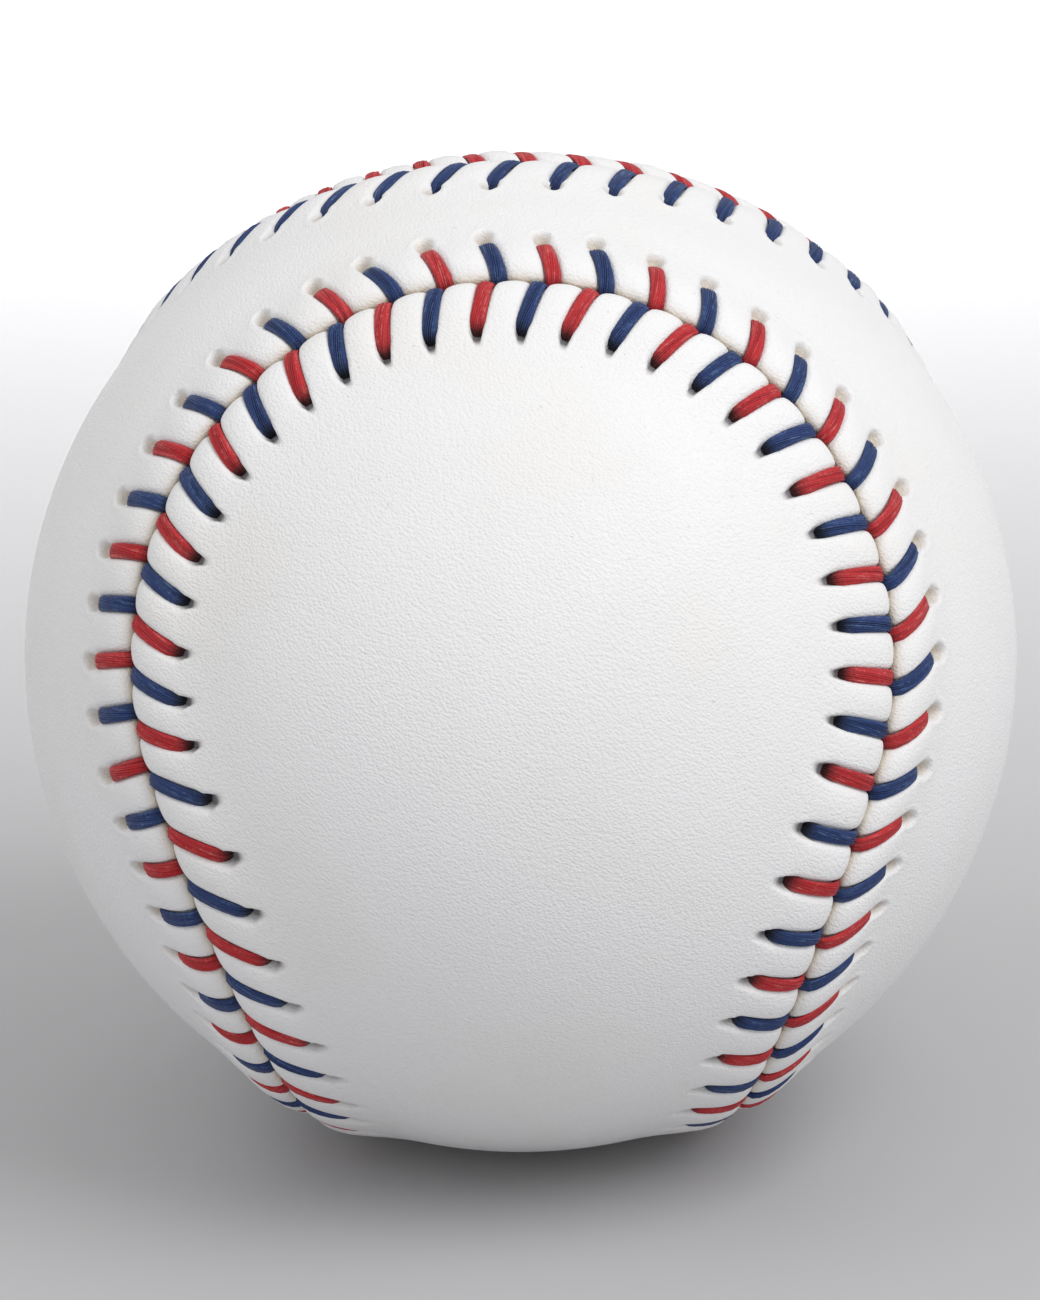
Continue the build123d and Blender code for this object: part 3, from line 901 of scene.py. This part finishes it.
class BALL_OT_panels(bpy.types.Operator):
    """Make the two leather panels"""
    bl_idname = "ball.panels"
    bl_label = "Leather panels"

    def execute(self, context):
        seam = seam_of(context)
        settings = context.scene.leather_settings
        material = leather_material(settings)
        for side, name, node in (
                (-1, "leather_lower", "cover_panel_lower"), (1, "leather_upper", "cover_panel_upper")):
            panel = make_panel(seam, settings, side, name)
            panel.data.materials.append(material)
            stand_in(panel, "leather", node)
        return {"FINISHED"}


class BALL_OT_threads(bpy.types.Operator):
    """Lace the red and the blue thread"""
    bl_idname = "ball.threads"
    bl_label = "Threads"

    def execute(self, context):
        seam = seam_of(context)
        settings = context.scene.thread_settings
        tree = plied_thread_tree()
        fibre = spun_fibre_group()
        # the light colour of each thread is for its light fibres and painted highlights
        for colour, shade, light in (
                ("red", settings.red, (0.88, 0.27, 0.25)), ("blue", settings.blue, (0.16, 0.28, 0.5))):
            material = thread_material(colour + " thread", shade, light, fibre)
            thread = make_thread(seam, settings, colour, material, tree)
            stand_in(thread, colour + "_thread", colour + "_thread")
        return {"FINISHED"}


class BALL_OT_windings(bpy.types.Operator):
    """Wind the four layers of yarn"""
    bl_idname = "ball.windings"
    bl_label = "Windings"

    def execute(self, context):
        settings = context.scene.winding_settings
        tree = wound_yarn_tree()
        fibre = spun_fibre_group()
        grey = yarn_material("grey wool", settings.grey, fibre)
        white = yarn_material("white wool", settings.white, fibre)
        finish = yarn_material("finish yarn", settings.finish, fibre)
        for node, below, slot, yarn, turns, material in (
                ("first_winding", "red_cushion_layer", "grey_wool", settings.first_yarn, 110, grey),
                ("second_winding", "first_winding", "white_wool", settings.middle_yarn, 130, white),
                ("third_winding", "second_winding", "grey_wool", settings.middle_yarn, 130, grey),
                ("finish_winding", "third_winding", "finish_yarn", settings.finish_yarn, 280, finish)):
            winding = make_winding(settings, tree, node, below, yarn, turns, material)
            stand_in(winding, slot, node)
        return {"FINISHED"}


class BALL_OT_core(bpy.types.Operator):
    """Dress the cork, the rubber half shells, their ring and the rubber layer"""
    bl_idname = "ball.core"
    bl_label = "Core"

    def execute(self, context):
        settings = context.scene.core_settings
        rubber = moulded_rubber_group()
        dress("cork", cork_material(settings), "cork_core")
        black = rubber_material("black rubber", settings.black, rubber)
        dress("black_rubber", black, "black_cushion_upper", "black_cushion_lower")
        red = rubber_material("red rubber", settings.red, rubber)
        dress("red_rubber", red, "cushion_ring", "red_cushion_layer")
        return {"FINISHED"}


class BALL_OT_stage(bpy.types.Operator):
    """Set the floor, the light and the camera"""
    bl_idname = "ball.stage"
    bl_label = "Stage"

    def execute(self, context):
        scene = context.scene
        settings = scene.stage_settings
        make_floor(settings)
        light_stage(scene, settings)
        aim_camera(scene, settings, scene.ball_settings.diameter / 2)
        scene.view_settings.view_transform = "Standard"
        return {"FINISHED"}


class BALL_PT_sidebar(bpy.types.Panel):
    """Steps and sizes of the ball"""
    bl_label = "Baseball"
    bl_idname = "BALL_PT_sidebar"
    bl_space_type = "VIEW_3D"
    bl_region_type = "UI"
    bl_category = "Baseball"

    def draw(self, context):
        for label, group, step in PANEL_ROWS:
            box = self.layout.box()
            box.label(text=label)
            settings = getattr(context.scene, group)
            for name in settings.bl_rna.properties.keys():
                if name not in ("rna_type", "name"):
                    box.prop(settings, name)
            if step:
                box.operator(step)


PANEL_ROWS = (
    ("Ball", "ball_settings", None),
    ("Leather", "leather_settings", "ball.panels"),
    ("Threads", "thread_settings", "ball.threads"),
    ("Windings", "winding_settings", "ball.windings"),
    ("Core", "core_settings", "ball.core"),
    ("Stage", "stage_settings", "ball.stage"),
)
SETTINGS = (("ball_settings", BallSettings), ("leather_settings", LeatherSettings),
            ("thread_settings", ThreadSettings), ("winding_settings", WindingSettings),
            ("core_settings", CoreSettings), ("stage_settings", StageSettings))
CLASSES = (BALL_OT_panels, BALL_OT_threads, BALL_OT_windings, BALL_OT_core, BALL_OT_stage, BALL_PT_sidebar)


def register():
    for name, group in SETTINGS:
        bpy.utils.register_class(group)
        setattr(bpy.types.Scene, name, bpy.props.PointerProperty(type=group))
    for item in CLASSES:
        bpy.utils.register_class(item)


def unregister():
    for item in reversed(CLASSES):
        bpy.utils.unregister_class(item)
    for name, group in reversed(SETTINGS):
        delattr(bpy.types.Scene, name)
        bpy.utils.unregister_class(group)


def main():
    register()
    bpy.ops.ball.panels()
    bpy.ops.ball.threads()
    bpy.ops.ball.windings()
    bpy.ops.ball.core()
    bpy.ops.ball.stage()


if __name__ == "__main__":
    main()
